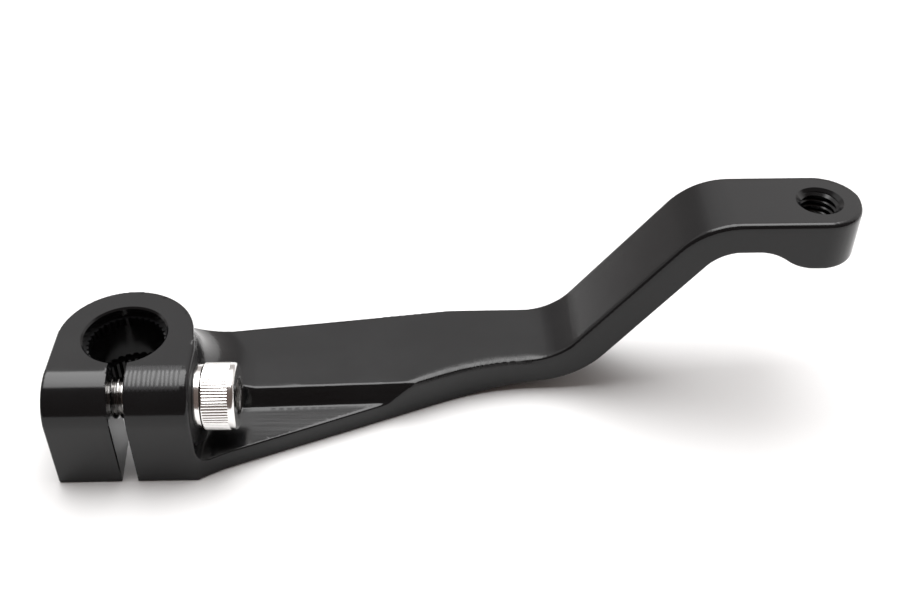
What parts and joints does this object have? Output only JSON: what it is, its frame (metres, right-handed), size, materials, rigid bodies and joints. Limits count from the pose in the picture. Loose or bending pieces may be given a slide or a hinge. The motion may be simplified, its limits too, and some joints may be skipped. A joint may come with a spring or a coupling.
{
  "type": "foot shift lever",
  "caption": "Stepped foot shift lever: a split, serrated clamp with a pinch screw and spring washer at one end, a tapped hole for a foot peg at the other.",
  "frame": {"origin": "on the shaft's axis, at the clamp's underside", "axes": "+Z along the shaft's axis, out of the clamp's underside towards its top; +X along the pinch screw, towards the peg end; +Y from the clamp's slotted front towards its round back"},
  "size_m": [0.156, 0.0403, 0.0415],
  "materials": {
    "black_aluminium": "satin black finish over a machined surface",
    "zinc_steel": "bright zinc plate"
  },
  "bodies": {
    "lever": {"lever": "black_aluminium"},
    "washer": {"lock_washer": "zinc_steel"},
    "screw": {"pinch_screw": "zinc_steel"}
  },
  "joints": [
    {"name": "washer_slide", "type": "slide", "parent": "lever", "child": "washer", "axis": [1, 0, 0], "range_m": [0, 0.0075]},
    {"name": "screw_turn", "type": "hinge", "parent": "washer", "child": "screw", "pos_m": [0.0155, -0.0088, 0.0138], "axis": [1, 0, 0], "range_deg": [0, 2160]}
  ],
  "couplings": [
    {"joint": "screw_turn", "follows": "washer_slide", "rad_per_m": 5026.5}
  ]
}
